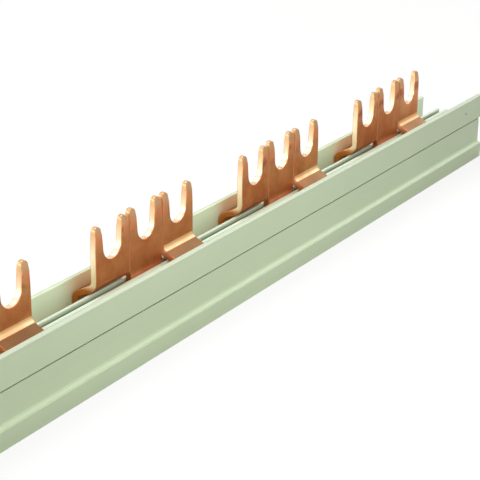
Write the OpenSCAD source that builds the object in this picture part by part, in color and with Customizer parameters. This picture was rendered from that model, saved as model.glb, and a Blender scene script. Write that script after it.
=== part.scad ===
// Three-phase comb busbar.
// Three stamped and folded copper combs stand in one extruded insulating profile.
// +X runs along the busbar, +Y points to its back wall and +Z up towards the fork tips.
// The origin is the middle of the underside.

/* [Layout along the busbar] */
// Distance from one group of three forks to the next, three device modules
group_pitch = 53.4; // [50:0.1:60]
// Number of groups of forks
groups = 4; // [1:1:6]
// Distance between neighbouring forks in a group
fork_pitch = 11.4; // [10.6:0.1:14]
// Gap between neighbouring forks
fork_gap = 0.5; // [0.3:0.1:1]
// Profile left over past the outermost fork at each end
end_margin = 17.2; // [8:0.1:30]
// How far the combs end inside the profile
comb_inset = 5; // [1:0.5:7]

/* [Forks] */
// Width of the fork slot at its round bottom
slot_w = 5.9; // [5:0.1:6.4]
// Depth of the fork slot below the tips
slot_depth = 7.9; // [6:0.1:9]
// How much wider each side of the slot gets towards the tips
slot_flare = 0.35; // [0:0.05:0.5]
// How much each outer edge of the fork leans in towards the tips
tine_taper = 0.2; // [0:0.05:0.4]
// Height of the lead-in chamfer on the tips
lead_in_h = 2.2; // [0.5:0.1:3]
// Depth of the lead-in chamfer into the front face
lead_in_d = 0.35; // [0.1:0.05:0.6]
// Depth of the lead-in chamfer into the back face
lead_in_back_d = 0.1; // [0.05:0.05:0.6]

/* [Copper strip] */
// Thickness of the copper sheet
copper_t = 1.5; // [1.3:0.1:1.6]
// Height of the conductor that joins the forks of one comb
conductor_h = 6.7; // [5:0.1:7.6]
// Height of the comb from its bottom edge to the fork tips
comb_h = 25; // [24:0.1:28]
// Height of a folded tab's upper bend above the comb's bottom edge
upper_knee = 12.1; // [12:0.1:13]
// How far the jog moves a folded fork sideways
jog = 5.1; // [4.8:0.1:6]
// How far the jog drops over that distance
jog_drop = 2.5; // [2:0.1:2.8]
// Inside radius of the bends
bend_r = 1.4; // [0.8:0.1:1.6]

/* [Insulating profile] */
// Height of the front wall
front_h = 17.8; // [16:0.1:20]
// Height of the back wall
back_h = 14.2; // [12:0.1:17]
// Height of the two ribs in front of the middle comb above the floor
rib_h = 10; // [9:0.1:10.1]
// How much lower the rib behind the middle comb is
rear_rib_drop = 0.2; // [0.1:0.1:1]
// Thickness of the two ribs in front of the middle comb
rib_t = 1; // [0.8:0.1:1.2]
// Thickness of the rib behind the middle comb
rear_rib_t = 0.8; // [0.7:0.1:1]
// Thickness of the floor under the middle and front combs
floor_t = 1.8; // [1.3:0.1:2.5]
// How much thinner the floor is under the rear comb
rear_floor_drop = 0.5; // [0:0.1:0.6]
// Thickness of the back wall
back_t = 1; // [0.8:0.1:1.6]
// Thickness of the front wall where it is recessed
front_t = 1; // [0.8:0.1:1.6]
// Width of the empty chamber behind the front wall
chamber_w = 3.4; // [2:0.1:6]
// Rounding of the wall tops
top_r = 0.3; // [0.1:0.05:0.3]

/* [Front face] */
// Height of the upper band of the front wall
upper_band_h = 6.4; // [5:0.1:8]
// How far the upper band stands in front of the recessed band
upper_band_step = 0.4; // [0.2:0.1:0.8]
// Height of the groove under the upper band
groove_h = 0.5; // [0.3:0.1:0.8]
// Depth of the groove behind the recessed band
groove_d = 0.25; // [0.1:0.05:0.4]
// Height of the lower band's front face
lower_band_h = 4; // [3:0.1:6]
// How far the lower band stands in front of the recessed band
lower_band_step = 1; // [0.6:0.1:1.6]

/* [Fits] */
// Clearance between a comb and the walls and ribs beside it
comb_clear = 0.1; // [0.05:0.05:0.3]

/* [Hidden] */

// Extra reach of a cutter past the face it cuts.
past = 1;
// An arc of a bend is this much larger than true, so that it crosses the flat faces cleanly.
seam = 0.001;

// Lengths along X.
fork_w = fork_pitch - fork_gap;
outer_forks = (groups - 1) * group_pitch + 2 * fork_pitch + fork_w;
profile_len = outer_forks + 2 * end_margin;
comb_len = profile_len - 2 * comb_inset;

// Depths of the profile's faces, counted from the front face of the row of forks.
middle_rib_f = -comb_clear - rib_t;
rear_rib_f = copper_t + comb_clear;
back_f = copper_t + jog + comb_clear;
front_rib_f = -jog - comb_clear - rib_t;
chamber_f = front_rib_f - chamber_w;
recess_f = chamber_f - front_t;
upper_f = recess_f - upper_band_step;
lower_f = recess_f - lower_band_step;
// The origin lies midway between the foremost face and the back of the profile.
fork_face = -(min(lower_f, upper_f) + back_f + back_t) / 2;

// Heights on the front wall and the ribs, and the seat of the rear comb.
upper_band_z = front_h - upper_band_h;
lower_curve_z = lower_band_h + lower_band_step;
rib_top = floor_t + rib_h;
rear_seat = floor_t - rear_floor_drop;

// Heights on a comb, counted from its bottom edge.
lower_knee = upper_knee - jog_drop;
slot_centre = comb_h - slot_depth + slot_w / 2;
tine_inner = slot_w / 2 + slot_flare;
tine_outer = fork_w / 2 - tine_taper;
tip_r = (tine_outer - tine_inner) / 2;
tip_centre = comb_h - tip_r;

// The two bends of the jog turn the strip by the same angle, one each way. Each is centred
// beside the knee where the straight parts would meet.
fall = atan(jog_drop / jog);
turn = 90 - fall;
bend_mid = bend_r + copper_t / 2;
tangent = bend_mid * tan(turn / 2);
bends = [
    [[bend_mid, upper_knee + tangent], 180],
    [[jog - bend_mid, lower_knee - tangent], 0]
];

// Extrudes a section that is drawn in Y and Z along X.
module along_x(length) {
    translate([-length / 2, 0, 0])
        rotate([90, 0, 90])
            linear_extrude(height = length)
                children();
}

// Insulating profile, drawn in Y and Z.

// An upright wall with a rounded top.
module wall(front, thickness, top, bottom = 0) {
    translate([front, bottom])
        square([thickness, top - top_r - bottom]);
    translate([front + top_r, bottom])
        square([thickness - 2 * top_r, top - bottom]);
    for (y = [front + top_r, front + thickness - top_r])
        translate([y, top - top_r])
            circle(r = top_r, $fn = 32);
}

// The foot of the front wall, with a hollow curve up to the recessed band.
module lower_band() {
    difference() {
        translate([lower_f, 0])
            square([lower_band_step + front_t, lower_curve_z]);
        translate([lower_f, lower_curve_z])
            circle(r = lower_band_step, $fn = 64);
    }
}

// The upper band hangs over a groove that is cut into the recessed band.
module front_wall() {
    wall(upper_f, upper_band_step + front_t, front_h, upper_band_z);
    lower_band();
    difference() {
        translate([recess_f, 0])
            square([front_t, upper_band_z + top_r]);
        translate([recess_f - past, upper_band_z - groove_h])
            square([past + groove_d, groove_h]);
    }
}

// The floor is thinner under the rear comb, which stands lower than the other two.
module floor_plate() {
    translate([chamber_f, 0])
        square([rear_rib_f + rear_rib_t - chamber_f, floor_t]);
    translate([rear_rib_f, 0])
        square([back_f + back_t - rear_rib_f, rear_seat]);
}

module insulating_profile() {
    color("#b9c4a9")
        translate([0, fork_face, 0])
            along_x(profile_len) {
                front_wall();
                floor_plate();
                wall(front_rib_f, rib_t, rib_top);
                wall(middle_rib_f, rib_t, rib_top);
                wall(rear_rib_f, rear_rib_t, rib_top - rear_rib_drop);
                wall(back_f, back_t, back_h);
            }
}

// Copper combs. Their sections are drawn in Y and Z, with Y counted from the middle of the
// row of forks and Z from the comb's bottom edge.

// A face of the upper end of a tab, with its lead-in chamfer towards the tips. Both the face
// and the front are given as a side of the section, -1 or 1.
function tip_face(side, front) = [
    [side * copper_t / 2, comb_h - lead_in_h],
    [side * (copper_t / 2 - (side == front ? lead_in_d : lead_in_back_d)), comb_h]
];
// The same end of the tab from its left face over the tip to its right face.
function tip_end(front) = [
    each tip_face(-1, front), tip_face(1, front)[1], tip_face(1, front)[0]
];

module flat_section() {
    half = copper_t / 2;
    polygon([[-half, 0], each tip_end(-1), [half, 0]]);
}

// A ray of the given length and angle.
function ray(length, angle) = length * [cos(angle), sin(angle)];

// What a bend leaves free at the sharp outer corner of its knee.
module bend_outside(start) {
    reach = 2 * (bend_r + copper_t);
    difference() {
        polygon([[0, 0], ray(reach, start), ray(reach, start + turn / 2), ray(reach, start + turn)]);
        circle(r = bend_r + copper_t + seam, $fn = 96);
    }
}

// What a bend fills in the inner corner of its knee.
module bend_inside(start) {
    knee = bend_mid / cos(turn / 2);
    difference() {
        polygon([[0, 0], ray(bend_r, start), ray(knee, start + turn / 2), ray(bend_r, start + turn)]);
        circle(r = bend_r + seam, $fn = 96);
    }
}

// The section of a folded tab: its leg, a slanting strip between two bends, and the upright that
// carries the fork. The leg stands to the right of the upright, and the front is side -1 or 1.
module folded_section(front) {
    half = copper_t / 2;
    mitre = [half, half * tan(turn / 2)];
    upper = [0, upper_knee];
    lower = [jog, lower_knee];
    difference() {
        polygon([
            [jog - half, 0], lower - mitre, upper - mitre,
            each tip_end(front),
            upper + mitre, lower + mitre, [jog + half, 0]
        ]);
        for (b = bends)
            translate(b[0])
                bend_outside(b[1]);
    }
    for (b = bends)
        translate(b[0])
            bend_inside(b[1]);
}

// Half of the fork's tines as they are stamped, drawn in X and Z.
module tine() {
    polygon([
        [slot_w / 2, slot_centre], [fork_w / 2, slot_centre],
        [tine_outer, tip_centre], [tine_inner, tip_centre]
    ]);
    translate([(tine_inner + tine_outer) / 2, tip_centre])
        circle(r = tip_r, $fn = 48);
}

// The stamped outline of a tab with its fork, drawn in X and Z.
module fork_outline() {
    difference() {
        translate([-fork_w / 2, 0])
            square([fork_w, slot_centre]);
        translate([0, slot_centre])
            circle(d = slot_w, $fn = 96);
    }
    tine();
    mirror([1, 0])
        tine();
}

// A tab: the section given as a child, cut to the stamped outline.
module tab() {
    reach = jog + copper_t;
    intersection() {
        along_x(fork_w)
            children();
        translate([0, reach, 0])
            rotate([90, 0, 0])
                linear_extrude(height = 2 * reach)
                    fork_outline();
    }
}

// A whole comb: the conductor and one tab in each group. The child is the tab's section.
module comb(conductor_y, fork_x) {
    along_x(comb_len)
        translate([conductor_y - copper_t / 2, 0])
            square([copper_t, conductor_h]);
    for (i = [0 : groups - 1])
        translate([(i - (groups - 1) / 2) * group_pitch + fork_x, 0, 0])
            tab()
                children();
}

module rear_comb() {
    color("#b87345")
        translate([0, fork_face + copper_t / 2, rear_seat])
            comb(jog, -fork_pitch)
                folded_section(-1);
}

module middle_comb() {
    color("#b06a3e")
        translate([0, fork_face + copper_t / 2, floor_t])
            comb(0, 0)
                flat_section();
}

module front_comb() {
    color("#bd7a4b")
        translate([0, fork_face + copper_t / 2, floor_t])
            comb(-jog, fork_pitch)
                mirror([1, 0])
                    folded_section(1);
}

insulating_profile();
rear_comb();
middle_comb();
front_comb();
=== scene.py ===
# %% [markdown]
# # A three-phase comb busbar in Blender
# A comb busbar carries current along a row of circuit breakers. Three copper combs stand in one
# plastic profile, and their fork tabs go under the terminal screws. Everything below is in metres
# and in one frame: +X runs along the busbar, +Y points to its back wall and +Z up to the fork tips.
# The first cell loads the measured parts, so every piece made later has a place to fit.

# %% Load the measured parts
import math

import bmesh
import bpy
from mathutils import Matrix, Vector


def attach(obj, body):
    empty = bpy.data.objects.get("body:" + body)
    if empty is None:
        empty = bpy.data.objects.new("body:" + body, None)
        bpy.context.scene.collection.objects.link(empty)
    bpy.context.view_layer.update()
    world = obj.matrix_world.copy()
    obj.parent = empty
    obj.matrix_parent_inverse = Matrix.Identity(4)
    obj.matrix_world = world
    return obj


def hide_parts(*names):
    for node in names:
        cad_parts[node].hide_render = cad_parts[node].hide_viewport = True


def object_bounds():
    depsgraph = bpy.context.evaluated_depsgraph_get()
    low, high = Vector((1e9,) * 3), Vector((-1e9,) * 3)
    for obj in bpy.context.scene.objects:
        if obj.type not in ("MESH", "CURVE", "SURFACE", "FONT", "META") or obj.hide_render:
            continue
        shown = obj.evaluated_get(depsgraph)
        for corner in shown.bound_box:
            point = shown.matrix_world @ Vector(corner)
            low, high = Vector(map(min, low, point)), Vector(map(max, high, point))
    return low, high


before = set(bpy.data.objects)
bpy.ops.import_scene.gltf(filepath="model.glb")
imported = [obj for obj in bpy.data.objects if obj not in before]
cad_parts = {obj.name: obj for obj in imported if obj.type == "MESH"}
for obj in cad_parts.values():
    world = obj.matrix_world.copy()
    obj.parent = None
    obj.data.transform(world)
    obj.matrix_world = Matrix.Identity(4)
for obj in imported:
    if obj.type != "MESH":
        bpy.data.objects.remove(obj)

cad_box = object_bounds()
print("nodes:", sorted(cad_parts))
print("box in mm:", [[round(v * 1000, 2) for v in corner] for corner in cad_box])

# %% [markdown]
# ## The camera
# The picture was taken from the left, in front of the busbar and above it, with a long lens. Its
# place was worked out from the edges of the object. A camera looks along its own -Z, so its
# matrix is built from three directions: to the right, up, and backwards.

# %% Place the camera
MM = 0.001
camera_place = Vector((-261.72, -173.32, 136.16)) * MM
camera_right = Vector((0.546832, -0.837183, 0.009970))
camera_up = Vector((0.306818, 0.211459, 0.927980))
camera_back = Vector((-0.778998, -0.504390, 0.372495))
PHOTO_WIDTH = 480                 # pixels
FOCAL_PIXELS = 1519.43            # focal length in pixels of the photograph

camera_data = bpy.data.cameras.new("camera")
camera_data.sensor_width = 36
camera_data.lens = FOCAL_PIXELS / PHOTO_WIDTH * camera_data.sensor_width
camera_data.clip_start = 0.005
camera_data.clip_end = 20
camera = bpy.data.objects.new("camera", camera_data)
turn = Matrix((camera_right, camera_up, camera_back)).transposed()
camera.matrix_world = Matrix.Translation(camera_place) @ turn.to_4x4()
bpy.context.scene.collection.objects.link(camera)
bpy.context.scene.camera = camera
print("lens in mm:", round(camera_data.lens, 1))

# %% [markdown]
# ## Colours and nodes
# Colours are easy to read as sRGB hex values, but Blender computes with linear light, so one
# function turns the one into the other. A second small function adds a shader node, sets its
# sockets and links it. The others are short names for what the materials do again and again:
# stretch a pattern, draw noise, fade between two values, and lay one colour over another.

# %% Colour and node helpers
def linear(hex_colour):
    """An sRGB hex colour such as "#c8d0b5" as linear RGBA."""
    parts = [int(hex_colour[i:i + 2], 16) / 255 for i in (1, 3, 5)]
    light = [v / 12.92 if v <= 0.04045 else ((v + 0.055) / 1.055) ** 2.4 for v in parts]
    return (*light, 1.0)


def add(tree, kind, settings=None, **sockets):
    """Adds a node. A socket is named by its label, with _ for a space, or by its number, such as
    i0 for the first input. Its value may be a number, a colour or another node's output."""
    node = tree.nodes.new(kind)
    for name, value in (settings or {}).items():
        setattr(node, name, value)
    for name, value in sockets.items():
        key = int(name[1:]) if name[0] == "i" and name[1:].isdigit() else name.replace("_", " ")
        if isinstance(value, bpy.types.NodeSocket):
            tree.links.new(value, node.inputs[key])
        else:
            node.inputs[key].default_value = value
    return node


def new_material(name):
    """A material with an empty node tree and its output node."""
    material = bpy.data.materials.new(name)
    material.use_nodes = True
    material.node_tree.nodes.clear()
    return material, material.node_tree, material.node_tree.nodes.new("ShaderNodeOutputMaterial")


def metres(*sizes):
    """Sizes in millimetres as metres."""
    return [size * MM for size in sizes]


def maths(tree, operation, *values):
    """One calculation on two or three values, such as MULTIPLY."""
    sockets = {f"i{number}": value for number, value in enumerate(values)}
    return add(tree, "ShaderNodeMath", {"operation": operation}, **sockets).outputs[0]


def noise(tree, place, scale, detail, **more):
    """Soft noise between 0 and 1, with scale waves to the metre."""
    return add(tree, "ShaderNodeTexNoise", Vector=place, Scale=scale, Detail=detail,
               **more).outputs["Fac"]


def stretched(tree, place, waves):
    """A place that noise of scale 1 turns into that many waves to the metre along X, Y and Z."""
    return add(tree, "ShaderNodeMapping", Vector=place, Scale=waves).outputs[0]


def fade(tree, value, start, end, most=1.0, smooth=False):
    """A rise from 0 at start to most at end, which may lie below start."""
    at_low, at_high = (0.0, most) if start < end else (most, 0.0)
    curve = {"interpolation_type": "SMOOTHSTEP" if smooth else "LINEAR"}
    return add(tree, "ShaderNodeMapRange", curve, Value=value, i1=min(start, end),
               i2=max(start, end), i3=at_low, i4=at_high).outputs[0]


def layer(tree, below, amount, colour):
    """Covers a colour with another one by an amount from 0 to 1."""
    return add(tree, "ShaderNodeMix", {"data_type": "RGBA"}, i0=amount, i6=below,
               i7=colour).outputs[2]


def blend_values(tree, share, first, second):
    """A value between two others: the first at a share of 0 and the second at 1."""
    return add(tree, "ShaderNodeMix", {"data_type": "FLOAT"}, i0=share, i2=first,
               i3=second).outputs[0]


def open_air(tree, reach, only_local=False):
    """How open a point is, from 0 in a corner to 1, looking as far as reach in metres."""
    return add(tree, "ShaderNodeAmbientOcclusion", {"samples": 8, "only_local": only_local},
               Distance=reach).outputs["AO"]


def relief(tree, height, strength, depth):
    """A bumpy normal from a height, with the depth of the pattern in metres."""
    return add(tree, "ShaderNodeBump", Height=height, Strength=strength,
               Distance=depth).outputs["Normal"]


print("linear copper:", [round(v, 3) for v in linear("#d08a5c")])

# %% [markdown]
# ## The studio
# The photograph is a catalogue picture: soft light from all round and a white ground. Five lamps
# stand in for its softboxes. A small key lamp is close to the middle of the front face, so its
# light falls off towards the ends, as in the picture. A large one overhead lights the tops, one
# behind and one on the left light the narrow edges of the copper, and a far one on the right
# shows in the folds. Light adds up, so each lamp was rendered alone first, and the levels were
# then chosen so that their sum gives the brightness of the picture.
#
# The world is white to the camera. In reflections it is white near the horizon, where a studio
# has its walls, and dimmer higher up, like a ceiling. Its own light on the object is weak.

# %% World
world = bpy.data.worlds.new("studio")
bpy.context.scene.world = world
world.use_nodes = True
sky = world.node_tree
sky.nodes.clear()
WORLD_LIGHT, CEILING = 0.31, 0.25
WALL_TOP, CEILING_EDGE = 0.44, 0.60       # upward share of a direction
path = add(sky, "ShaderNodeLightPath")
direction = add(sky, "ShaderNodeTexCoord").outputs["Generated"]
height = add(sky, "ShaderNodeSeparateXYZ", Vector=direction).outputs["Z"]
mirrored = add(sky, "ShaderNodeMapRange", {"interpolation_type": "SMOOTHSTEP"}, Value=height,
               i1=WALL_TOP, i2=CEILING_EDGE, i3=1.0, i4=CEILING)
dim = blend_values(sky, path.outputs["Is Glossy Ray"], WORLD_LIGHT, mirrored.outputs[0])
seen = maths(sky, "MAXIMUM", path.outputs["Is Camera Ray"], path.outputs["Is Transmission Ray"])
level = blend_values(sky, seen, dim, 1.0)
light = add(sky, "ShaderNodeBackground", Color=(1, 1, 1, 1), Strength=level)
add(sky, "ShaderNodeOutputWorld", Surface=light.outputs[0])
print("world light:", WORLD_LIGHT, "ceiling in reflections:", CEILING)

# %% Lamps
def softbox(name, place, target, size, level):
    """An area lamp. Its level is the share of full light that it gives a face turned to it."""
    lamp = bpy.data.lights.new(name, "AREA")
    lamp.shape = "RECTANGLE"
    lamp.size, lamp.size_y = size
    offset = Vector(place) - Vector(target)
    lamp.energy = math.pi ** 2 * offset.length_squared * level
    holder = bpy.data.objects.new(name, lamp)
    aim = offset.to_track_quat("Z", "Y").to_matrix().to_4x4()
    holder.matrix_world = Matrix.Translation(place) @ aim
    bpy.context.scene.collection.objects.link(holder)
    return holder


lamps = [
    softbox("key", (-0.03, -0.13, 0.12), (0, 0, 0.01), (0.15, 0.15), 0.50),
    softbox("top", (0.0, 0.30, 0.75), (0, 0, 0.01), (0.60, 0.40), 0.44),
    softbox("back", (-0.50, 0.80, 0.35), (0, 0, 0.01), (0.8, 0.5), 0.34),
    softbox("left", (-1.10, 0.10, 0.24), (0, 0, 0.01), (0.9, 0.4), 0.40),
    softbox("right", (1.56, -0.46, 1.12), (0, 0, 0.01), (1.0, 1.0), 0.33),
]
print("lamps in watts:", {lamp.name: round(lamp.data.energy, 1) for lamp in lamps})

# %% [markdown]
# The floor is a pale sheet. The camera sees it mixed with white, so that the ground of the picture
# is white, and it still keeps the object's shadow.

# %% Floor
FLOOR_SIZE, WHITE_SHARE = 8, 0.75         # metres, and how much white the camera sees in it
paper, tree, out = new_material("white_paper_floor")
path = add(tree, "ShaderNodeLightPath")
seen = maths(tree, "MAXIMUM", path.outputs["Is Camera Ray"], path.outputs["Is Glossy Ray"])
tone = layer(tree, linear("#8c8c88"), seen, linear("#fcfcfa"))
sheet = add(tree, "ShaderNodeBsdfDiffuse", Color=tone)
white = add(tree, "ShaderNodeEmission", Color=(1, 1, 1, 1), Strength=1.0)
share = maths(tree, "MULTIPLY", path.outputs["Is Camera Ray"], WHITE_SHARE)
both = add(tree, "ShaderNodeMixShader", Fac=share, i1=sheet.outputs[0], i2=white.outputs[0])
tree.links.new(both.outputs[0], out.inputs["Surface"])
bpy.ops.mesh.primitive_plane_add(size=FLOOR_SIZE, location=(0, 0, cad_box[0][2]))
floor = bpy.context.active_object
floor.name = "floor"
floor.data.materials.append(paper)
print("floor at mm:", round(cad_box[0][2] * 1000, 3))

# %% [markdown]
# ## The plastic
# The profile is rigid PVC, pushed hot through a die and cooled in a water bath. That leaves a
# satin skin, very faint straight lines along the length where the die drags, and tiny changes of
# tone. Its IOR is 1.53. The lines are far finer than a picture can show, so they are drawn about
# half a millimetre apart and kept weak. A noise of scale s has s waves to the metre.
#
# Light and shade are painted on it too. Painted shade darkens the groove on the front and the depth
# of the narrow channels, and an Ambient Occlusion node finds both, because it measures how shut in
# a point is. A painted highlight makes the tops of the thin ribs and the inside of the back wall
# paler, and painted shade makes the top of the front wall a little greyer. Use shows as one dark
# speck near the right end.

# %% Extruded PVC
PVC_IOR = 1.53
DRAG_WAVES = (12, 2000, 2000)             # long along the busbar, 0.5 mm apart across it
GROOVE_REACH, CHANNEL_REACH = metres(0.6, 2.5)
RIBS_WITHIN = 5.0 * MM                    # the ribs lie this near to the middle, in Y
RIB_TOPS = metres(10.8, 11.2)             # heights between which the painted highlight fades in
WALL_FACE, WALL_FACE_REACH = metres(8.7, 0.2)
CREST = metres(17.3, 17.7)
CHANNEL_DEPTH = metres(11.0, 10.6)
SPECK_PLACE = metres(104.42, -9.05, 14.61)
SPECK_RIM = metres(0.34, 0.22)

pvc, tree, out = new_material("extruded_pvc_grey_green")
place = add(tree, "ShaderNodeTexCoord").outputs["Object"]
spot = add(tree, "ShaderNodeSeparateXYZ", Vector=place)
across, up = spot.outputs["Y"], spot.outputs["Z"]

lines = noise(tree, stretched(tree, place, DRAG_WAVES), 1.0, 3)
cloud = noise(tree, place, 45.0, 2)
shade = fade(tree, blend_values(tree, 0.55, lines, cloud), 0.30, 0.70)
colour = layer(tree, linear("#c8d9b3"), shade, linear("#d0dfbb"))

# Painted shade in the groove on the front: an Ambient Occlusion mask darkens the colour there.
painted_groove_shade = fade(tree, open_air(tree, GROOVE_REACH, only_local=True), 0.62, 0.35)
colour = layer(tree, colour, painted_groove_shade, linear("#7c8868"))

# Painted highlight: the tops of the ribs between the walls are made paler.
between = maths(tree, "COMPARE", across, 0.0, RIBS_WITHIN)
painted_rib_top_light = maths(tree, "MULTIPLY", between, fade(tree, up, *RIB_TOPS))
colour = layer(tree, colour, painted_rib_top_light, linear("#dce8d2"))
# Painted light: the inside face of the back wall is made paler.
painted_back_wall_light = maths(tree, "COMPARE", across, WALL_FACE, WALL_FACE_REACH)
colour = layer(tree, colour, painted_back_wall_light, linear("#e9f8dc"))
# Painted shade: the top of the front wall is made a little greyer.
colour = layer(tree, colour, fade(tree, up, *CREST), linear("#c8d3b9"))

# Painted shade deep in the narrow channels: below a height, an Ambient Occlusion mask darkens the
# colour.
narrow = fade(tree, open_air(tree, CHANNEL_REACH, only_local=True), 0.70, 0.45)
painted_channel_shade = maths(tree, "MULTIPLY", narrow, fade(tree, up, *CHANNEL_DEPTH))
colour = layer(tree, colour, painted_channel_shade, linear("#40453a"))

from_speck = add(tree, "ShaderNodeVectorMath", {"operation": "DISTANCE"}, i0=place,
                 i1=SPECK_PLACE).outputs["Value"]
colour = layer(tree, colour, fade(tree, from_speck, *SPECK_RIM), linear("#23261f"))

skin = add(tree, "ShaderNodeBsdfPrincipled", Base_Color=colour, Roughness=0.36, IOR=PVC_IOR,
           Normal=relief(tree, lines, 0.12, 0.04 * MM))
tree.links.new(skin.outputs[0], out.inputs["Surface"])
print("material:", pvc.name)

# %% [markdown]
# The ends of the profile are sawn. A saw leaves PVC matt and a little paler, with upright scores
# about a third of a millimetre apart.

# %% Sawn PVC
SCORE_WAVES = (1, 3000, 200)              # 0.33 mm apart in Y, and long in Z
sawn_pvc, tree, out = new_material("sawn_pvc_end")
place = add(tree, "ShaderNodeTexCoord").outputs["Object"]
scores = noise(tree, stretched(tree, place, SCORE_WAVES), 1.0, 2)
tone = layer(tree, linear("#c6d4b2"), scores, linear("#dde6cf"))
cut_face = add(tree, "ShaderNodeBsdfPrincipled", Base_Color=tone, Roughness=0.62, IOR=PVC_IOR,
               Normal=relief(tree, scores, 0.5, 0.05 * MM))
tree.links.new(cut_face.outputs[0], out.inputs["Surface"])
print("material:", sawn_pvc.name)

# %% [markdown]
# ## The copper
# The combs are stamped from bright rolled copper strip. Copper is a metal, so its colour is the
# colour of its reflections. Rolling leaves a fine grain along the strip. The metal is browner low
# on the tabs, and tarnish makes it khaki on the tips, with reddish spots below them. Painted shade
# darkens the slanted folds, found by the slope of their faces, and the corners, found by an Ambient
# Occlusion node, where the metal share goes down as well. Inside every fold the copper is a paler,
# matt copy: partly rubbed by the nose of the folding tool, partly a painted highlight. One function
# makes both skins, because they differ in a few values alone.

# %% Rolled copper, plain and burnished with a painted highlight
GRAIN_WAVES = (60, 1500, 1500)            # long along the strip, 0.7 mm apart across it
FOOT_BROWN = metres(18.5, 12.5)           # heights between which each colour change grows
UPPER_BROWN = metres(18.0, 21.2)
RED_STARTS, RED_ENDS = metres(20.5, 22.8), metres(24.6, 23.6)
TIP_KHAKI = metres(23.6, 25.6)
SLANT_BELOW = metres(18.0, 16.5)
SLANT_TURN = (0.870, 0.895)               # upward share of the normal on the slanted folds
CORNER_REACH = 1.0 * MM
ROUGHNESS_SPREAD = 0.04


def rolled_copper(name, dull, bright, rough, shine=1.0):
    """A copper skin between two colours, with grain, colour changes by height, and painted shade on
    the slants and in corners.
    """
    material, tree, out = new_material(name)
    place = add(tree, "ShaderNodeTexCoord").outputs["Object"]
    up = add(tree, "ShaderNodeSeparateXYZ", Vector=place).outputs["Z"]
    grain = noise(tree, stretched(tree, place, GRAIN_WAVES), 1.0, 3)
    cloud = noise(tree, place, 170.0, 3, Roughness=0.55)

    def rise(value, span, most=1.0):
        return fade(tree, value, *span, most, smooth=True)

    def times(a, b):
        return maths(tree, "MULTIPLY", a, b)

    colour = layer(tree, linear(dull), rise(cloud, (0.32, 0.68)), linear(bright))
    colour = layer(tree, colour, rise(up, FOOT_BROWN, 0.10), linear("#b86a40"))
    colour = layer(tree, colour, rise(up, UPPER_BROWN, 0.40), linear("#bc8a62"))
    band = times(rise(up, RED_STARTS), rise(up, RED_ENDS))
    spots = times(band, rise(cloud, (0.46, 0.62), 0.75))
    colour = layer(tree, colour, spots, linear("#8c4426"))
    colour = layer(tree, colour, rise(up, TIP_KHAKI, 0.85), linear("#b89672"))
    # Painted shade on the slanted folds, found by how far their faces turn upwards.
    normal = add(tree, "ShaderNodeNewGeometry").outputs["Normal"]
    facing_up = add(tree, "ShaderNodeSeparateXYZ", Vector=normal).outputs["Z"]
    painted_slant_shade = times(rise(facing_up, SLANT_TURN, 0.85), rise(up, SLANT_BELOW))
    colour = layer(tree, colour, painted_slant_shade, linear("#745c3c"))
    # Painted shade in corners and gaps: an Ambient Occlusion mask darkens the copper and lowers its
    # metal share there.
    painted_corner_shade = rise(open_air(tree, CORNER_REACH), (0.75, 0.35), 0.7)
    colour = layer(tree, colour, painted_corner_shade, linear("#c07a4c"))
    bare = maths(tree, "SUBTRACT", shine, times(painted_corner_shade, shine))
    matt = add(tree, "ShaderNodeMapRange", Value=cloud, i1=0.3, i2=0.7,
               i3=rough + ROUGHNESS_SPREAD, i4=rough - ROUGHNESS_SPREAD)
    metal = add(tree, "ShaderNodeBsdfPrincipled", Base_Color=colour, Metallic=bare,
                Roughness=matt.outputs[0], Normal=relief(tree, grain, 0.25, 0.03 * MM))
    tree.links.new(metal.outputs[0], out.inputs["Surface"])
    return material


copper = rolled_copper("rolled_copper_strip", "#dc8658", "#f2a474", 0.45)
# A paler, matt copy of the copper for the inside of the folds: partly rubbed by the folding tool,
# partly a painted highlight.
burnished_and_highlight = rolled_copper("bend_copper_with_painted_highlight", "#f4bc84", "#fcd6a4", 0.48, shine=0.55)
print("materials:", copper.name, burnished_and_highlight.name)

# %% [markdown]
# Where the punch has cut the strip, the narrow edge is fresh metal: paler than the face, and matt,
# with fine scores that run across the thickness. At the foot it is darker and more orange, a
# painted reflection of the shaded channel, and near the tip it has browned. In the narrow gaps
# between the tabs a painted tone, duller and less metallic, stands in for how light falls there.

# %% Sheared copper edge
SHEAR_WAVES = (2200, 300, 2200)           # across the thickness, 0.45 mm apart
FOOT_EDGE, HIGH_EDGE = metres(13.8, 12.4), metres(20.5, 25.0)
sheared, tree, out = new_material("sheared_copper_edge")
place = add(tree, "ShaderNodeTexCoord").outputs["Object"]
up = add(tree, "ShaderNodeSeparateXYZ", Vector=place).outputs["Z"]
scores = noise(tree, stretched(tree, place, SHEAR_WAVES), 1.0, 2)
# Painted reflection and shade: towards the foot the edge turns darker and orange, as the shaded
# channel shows in it.
cut = layer(tree, linear("#fce8c4"), fade(tree, up, *FOOT_EDGE), linear("#d28040"))
cut = layer(tree, cut, fade(tree, up, *HIGH_EDGE, 0.9), linear("#d8a470"))
# Painted light and shade in the narrow gaps: an Ambient Occlusion mask gives the edge a duller
# colour and lowers its metal share.
painted_gap_shading = fade(tree, open_air(tree, CORNER_REACH), 0.75, 0.35, 0.85)
cut = layer(tree, cut, painted_gap_shading, linear("#ecb088"))
cut_metal = add(tree, "ShaderNodeBsdfPrincipled", Base_Color=cut,
                Metallic=maths(tree, "SUBTRACT", 1.0, painted_gap_shading), Roughness=0.42,
                Normal=relief(tree, scores, 0.3, 0.03 * MM))
tree.links.new(cut_metal.outputs[0], out.inputs["Surface"])
print("material:", sheared.name)

# %% [markdown]
# ## The profile
# An extruded profile is one outline carried along a straight line. The outline is written as
# corners with a rounding each, in millimetres, and a helper turns every corner into an arc.

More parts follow.
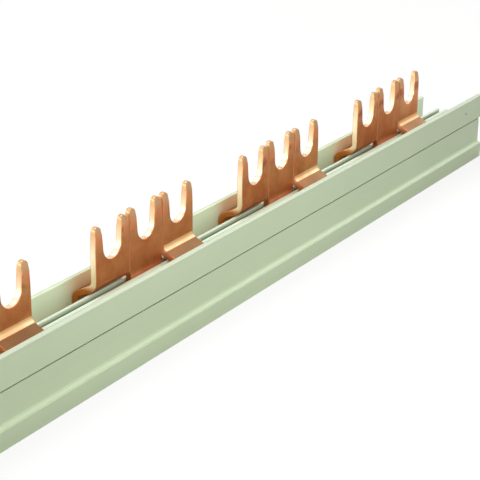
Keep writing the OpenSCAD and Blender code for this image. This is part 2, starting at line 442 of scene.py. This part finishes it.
# %% Round the corners of an outline
def rounded(corners, steps=6):
    """Turns corners (y, z, radius) of a closed outline into points, with an arc at each corner."""
    points = []
    count = len(corners)
    for i, (y, z, radius) in enumerate(corners):
        here = Vector((y, z))
        if radius <= 0:
            points.append(here)
            continue
        before = (Vector(corners[i - 1][:2]) - here).normalized()
        after = (Vector(corners[(i + 1) % count][:2]) - here).normalized()
        half = before.angle(after) / 2
        start = here + before * radius / math.tan(half)
        centre = here + (before + after).normalized() * radius / math.sin(half)
        sweep = (start - centre).angle_signed(here + after * radius / math.tan(half) - centre)
        for k in range(steps + 1):
            points.append(centre + Matrix.Rotation(-sweep * k / steps, 2) @ (start - centre))
    return points


print("a rounded square has", len(rounded([(0, 0, 1), (4, 0, 1), (4, 4, 1), (0, 4, 1)])), "points")

# %% The sizes of the profile, in millimetres
FORK_FACE = 1.95                  # front face of the row of forks
FRONT = dict(lower=-9.65, upper=-9.05, recess=-8.65, inner=-7.65, top=17.8)
# Each rib is where it starts and ends in Y, and its top. The back wall is given the same way.
RIBS = [(-4.25, -3.25, 11.8), (0.85, 1.85, 11.8), (3.55, 4.35, 11.6)]
BACK = (8.65, 9.65, 14.2)
FLOOR, REAR_FLOOR = 1.8, 1.3
LEDGE, COVE, GROOVE, GROOVE_H, GROOVE_D = 4.0, 1.0, 11.4, 0.5, 0.25
LENGTH = 228.3
TOP_R, CORNER_R, FOOT_R, CHAMBER_R = 0.3, 0.12, 0.2, 0.4
LEDGE_R, GROOVE_R = 0.15, 0.05
COVE_STEP = 10                            # degrees
REAR_RIB = RIBS[-1]

cove = [(FRONT["lower"] + COVE * math.sin(a), LEDGE + COVE - COVE * math.cos(a), 0)
        for a in (math.radians(d) for d in range(COVE_STEP, 91, COVE_STEP))]
in_groove_y, groove_low = FRONT["recess"] + GROOVE_D, GROOVE - GROOVE_H
corners = [(FRONT["lower"], 0, FOOT_R), (FRONT["lower"], LEDGE, LEDGE_R)] + cove
corners += [(FRONT["recess"], groove_low, CORNER_R), (in_groove_y, groove_low, GROOVE_R),
            (in_groove_y, GROOVE, GROOVE_R), (FRONT["upper"], GROOVE, CORNER_R),
            (FRONT["upper"], FRONT["top"], TOP_R), (FRONT["inner"], FRONT["top"], TOP_R),
            (FRONT["inner"], FLOOR, CHAMBER_R)]
for rib in RIBS:
    near, far, top = rib
    behind = REAR_FLOOR if rib == REAR_RIB else FLOOR
    corners += [(near, FLOOR, CORNER_R), (near, top, TOP_R), (far, top, TOP_R),
                (far, behind, CORNER_R)]
wall_in, wall_out, wall_top = BACK
corners += [(wall_in, REAR_FLOOR, CORNER_R), (wall_in, wall_top, TOP_R),
            (wall_out, wall_top, TOP_R), (wall_out, 0, FOOT_R)]
section = rounded(corners)
print("points in the section:", len(section))

# %% Extrude the section
def finish_mesh(name, mesh_builder, materials):
    """Turns a bmesh into a smooth shaded object with its materials."""
    bmesh.ops.recalc_face_normals(mesh_builder, faces=mesh_builder.faces)
    data = bpy.data.meshes.new(name)
    mesh_builder.to_mesh(data)
    mesh_builder.free()
    for face in data.polygons:
        face.use_smooth = True
    for material in materials:
        data.materials.append(material)
    made = bpy.data.objects.new(name, data)
    bpy.context.scene.collection.objects.link(made)
    return made


SAWN = 1                                  # material slot of the end faces
builder = bmesh.new()
rings = []
for x in (-LENGTH / 2, LENGTH / 2):
    rings.append([builder.verts.new(Vector((x, p.x, p.y)) * MM) for p in section])
for i in range(len(section)):
    j = (i + 1) % len(section)
    builder.faces.new((rings[0][i], rings[0][j], rings[1][j], rings[1][i]))
for ring in rings:
    builder.faces.new(ring).material_index = SAWN
profile = finish_mesh("profile_extrusion", builder, [pvc, sawn_pvc])
print("profile faces:", len(profile.data.polygons))

# %% Soften its sawn ends
SHARP = math.radians(35)                  # an edge that turns more than this is sharp
END_ROUNDING, COMB_ROUNDING = 0.08, 0.15  # millimetres


def soften(piece, width, material=-1):
    """Rounds the sharp edges of a piece and keeps its flat faces flat in the shading. The rounded
    edges take the material slot of that number, or their neighbours' with -1."""
    bevel = piece.modifiers.new("edge_rounding", "BEVEL")
    bevel.width = width * MM
    bevel.segments = 2
    bevel.limit_method = "ANGLE"
    bevel.angle_limit = SHARP
    bevel.use_clamp_overlap = True
    bevel.material = material
    weighted = piece.modifiers.new("flat_face_shading", "WEIGHTED_NORMAL")
    weighted.keep_sharp = False
    weighted.weight = 100
    return piece


soften(profile, END_ROUNDING)
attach(profile, "root")
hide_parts("insulating_profile")
print("profile in place")

# %% [markdown]
# ## The combs
# A comb is made from a flat blank. A press stamps the conductor strip with its tabs and forks,
# and a second tool folds the tabs of the two outer combs so that all forks stand in one plane.
# The mesh is made in the same order: a flat outline first, and then a fold that carries every
# point of the blank round two bends. Last, the tips are coined: the press rounds their edges, so
# that they slide under the terminals.

# %% The sizes of the combs, in millimetres
PITCH, GROUPS, FORK_PITCH, FORK_W = 53.4, 4, 11.4, 10.9
STRIP_T, STRIP_H, COMB_H, COMB_LEN = 1.5, 6.7, 25.0, 218.3
SLOT_W, SLOT_DEPTH, SLOT_FLARE, TINE_TAPER = 5.9, 7.9, 0.35, 0.2
LEAD_H, LEAD_FRONT, LEAD_BACK = 2.2, 0.35, 0.1
KNEE, JOG, DROP, BEND_R = 12.1, 5.1, 2.5, 1.4
WAIST, COINING = 0.8, 0.42                # face below the slot, and rounding of the tips
STRAIGHT = 0.001                          # radians: a strip that turns less is straight
SLACK = 0.01                              # millimetres, so that rounding loses no edge
FACE, CUT, FOLD = 0, 1, 2                 # material slots: rolled, sheared, and burnished copper with a painted highlight

slot_centre = COMB_H - SLOT_DEPTH + SLOT_W / 2
tine_inner, tine_outer = SLOT_W / 2 + SLOT_FLARE, FORK_W / 2 - TINE_TAPER
tip_r = (tine_outer - tine_inner) / 2
tip_middle = (tine_outer + tine_inner) / 2
bend_angle = math.pi / 2 - math.atan2(DROP, JOG)
bend_mid = BEND_R + STRIP_T / 2
tangent = bend_mid * math.tan(bend_angle / 2)
slant = math.hypot(JOG, DROP) - 2 * tangent
print("bend in degrees:", round(math.degrees(bend_angle), 1), "slant in mm:", round(slant, 2))

# %% Fold the blank
def walk(place, heading, moves, steps=8):
    """Follows a strip's centre line in Y and Z. Each move is a straight length, or a bend as
    (radius, angle). Returns rows of (length along the strip, y, z, heading)."""
    (y, z), length = place, 0.0
    line = [(length, y, z, heading)]
    for move in moves:
        radius, angle = move if isinstance(move, tuple) else (0.0, 0.0)
        for _ in range(steps if angle else 1):
            step = angle / steps
            chord = 2 * radius * math.sin(abs(step) / 2) if angle else move
            y += chord * math.cos(heading + step / 2)
            z += chord * math.sin(heading + step / 2)
            heading += step
            length += radius * abs(step) if angle else move
            line.append((length, y, z, heading))
    return line


leg = KNEE - DROP - tangent
folded = walk((JOG, 0.0), math.pi / 2,
              [STRIP_H, leg - STRIP_H, (bend_mid, bend_angle), slant, (bend_mid, -bend_angle)])
flat = walk((0.0, 0.0), math.pi / 2, [STRIP_H])
stretch = folded[-1][0] - folded[-1][2]
print("fold ends at y, z:", [round(v, 3) for v in folded[-1][1:3]])
print("the fold takes this much more blank in mm:", round(stretch, 3))

# %% Draw half a fork
def right_tine(steps=10):
    """The outline of the right tine from the middle of the slot's bottom to the fork's side, as
    (x, height) in millimetres. Two points lie on the line where the lead-in starts."""
    lead_z, tip_z = COMB_H - LEAD_H, COMB_H - tip_r
    part = (lead_z - slot_centre) / (tip_z - slot_centre)
    arc = [(SLOT_W / 2 * math.sin(a), slot_centre - SLOT_W / 2 * math.cos(a))
           for a in (math.pi / 2 * k / steps for k in range(steps + 1))]
    tip = [(tip_middle - tip_r * math.cos(a), tip_z + tip_r * math.sin(a))
           for a in (math.pi * k / steps for k in range(steps + 1))]
    inner = [(SLOT_W / 2 + SLOT_FLARE * part, lead_z)]
    outer = [(FORK_W / 2 - TINE_TAPER * part, lead_z), (FORK_W / 2, slot_centre)]
    return arc, inner, tip, outer


arc, inner, tip, outer = right_tine()
print("points in half a fork:", len(arc) + len(inner) + len(tip) + len(outer))

# %% Build a comb
def build_comb(name, line, side, fork_x):
    """One comb. line is the fold of its tabs, side is +1 for a leg behind the forks and -1 for one
    in front, and fork_x is the place of its forks in each group. Its bottom edge is at z = 0."""
    builder = bmesh.new()
    known = {}
    end_length, end_y, end_z, _ = line[-1]

    def point(x, row, front):
        """A vertex on the strip: front is +1 on the face towards -Y and -1 on the other, as they
        lie before side mirrors the strip."""
        length, y, z, heading = row
        lead = LEAD_FRONT if front == side else LEAD_BACK
        half = STRIP_T / 2 - lead * max(0.0, z - (COMB_H - LEAD_H)) / LEAD_H
        y -= front * half * math.sin(heading)
        z += front * half * math.cos(heading)
        key = (round(x, 5), round(length, 5), front)
        if key not in known:
            known[key] = builder.verts.new(Vector((x, side * y, z)) * MM)
        return known[key]

    def face(verts, material):
        builder.faces.new(verts).material_index = material

    def both_faces(outline, materials=(FACE, FACE)):
        for front, material in zip((1, -1), materials):
            face([point(x, row, front) for x, row in outline], material)

    def edge(outline):
        for (x1, row1), (x2, row2) in zip(outline, outline[1:]):
            face([point(x1, row1, 1), point(x2, row2, 1),
                  point(x2, row2, -1), point(x1, row1, -1)], CUT)

    def upright(z):
        return (end_length + z - end_z, end_y, z, math.pi / 2)

    left, right = -COMB_LEN / 2, COMB_LEN / 2
    rows = line + [upright(slot_centre - SLOT_W / 2 - WAIST)]
    bottom, top = rows[0], rows[1]
    stops = [left]
    for group in range(GROUPS):
        middle = (group - (GROUPS - 1) / 2) * PITCH + fork_x
        stops += [middle - FORK_W / 2, middle + FORK_W / 2]
        for low, high in zip(rows[1:], rows[2:]):
            turn = high[3] - low[3]
            skins = (FACE, FACE)
            if abs(turn) > STRAIGHT:
                skins = (FOLD, FACE) if turn > 0 else (FACE, FOLD)
            both_faces([(stops[-2], low), (stops[-1], low),
                        (stops[-1], high), (stops[-2], high)], skins)
            edge([(stops[-2], low), (stops[-2], high)])
            edge([(stops[-1], low), (stops[-1], high)])
        tines = {}
        for way in (1, -1):
            tines[way] = [[(middle + way * x, upright(z)) for x, z in part]
                          for part in right_tine()]
            arc, inner, tip, outer = tines[way]
            edge(arc + inner + tip + outer + [(middle + way * FORK_W / 2, rows[-1])])
            both_faces(inner + tip + outer[:1])
        waist = [(middle + way * FORK_W / 2, rows[-1]) for way in (-1, 1)]
        (arc, inner, _, outer), (arc2, inner2, _, outer2) = tines[1], tines[-1]
        both_faces(waist + outer[::-1] + inner[::-1] + arc[::-1] + arc2[1:] + inner2 + outer2)
    stops.append(right)
    for number, (a, b) in enumerate(zip(stops, stops[1:])):
        both_faces([(a, bottom), (b, bottom), (b, top), (a, top)])
        edge([(a, bottom), (b, bottom)])
        if number % 2 == 0:
            edge([(a, top), (b, top)])
    for x in (left, right):
        edge([(x, bottom), (x, top)])
    lead_starts = (COMB_H - LEAD_H - SLACK) * MM
    coined = [e for e in builder.edges if e.calc_face_angle(0.0) > SHARP
              and min(v.co.z for v in e.verts) > lead_starts]
    bmesh.ops.bevel(builder, geom=coined, offset=COINING * MM, segments=4, profile=0.5,
                    affect="EDGES", clamp_overlap=True, material=FACE)
    comb = finish_mesh(name, builder, [copper, sheared, burnished_and_highlight])
    return soften(comb, COMB_ROUNDING, material=FACE)


SEATS = {"rear_comb": 1.3, "middle_comb": 1.8, "front_comb": 1.8}
combs = {
    "rear_comb": build_comb("rear_comb_folded", folded, 1, -FORK_PITCH),
    "middle_comb": build_comb("middle_comb_flat", flat, 1, 0.0),
    "front_comb": build_comb("front_comb_folded", folded, -1, FORK_PITCH),
}
for node, comb in combs.items():
    comb.data.transform(Matrix.Translation(Vector((0, FORK_FACE + STRIP_T / 2, SEATS[node])) * MM))
    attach(comb, "root")
    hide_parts(node)
    print(node, "vertices:", len(comb.data.vertices), "faces:", len(comb.data.polygons))

# %% [markdown]
# ## The view transform
# The colours must come out as written, so the view transform is Standard.

# %% Finish
bpy.context.scene.view_settings.view_transform = "Standard"
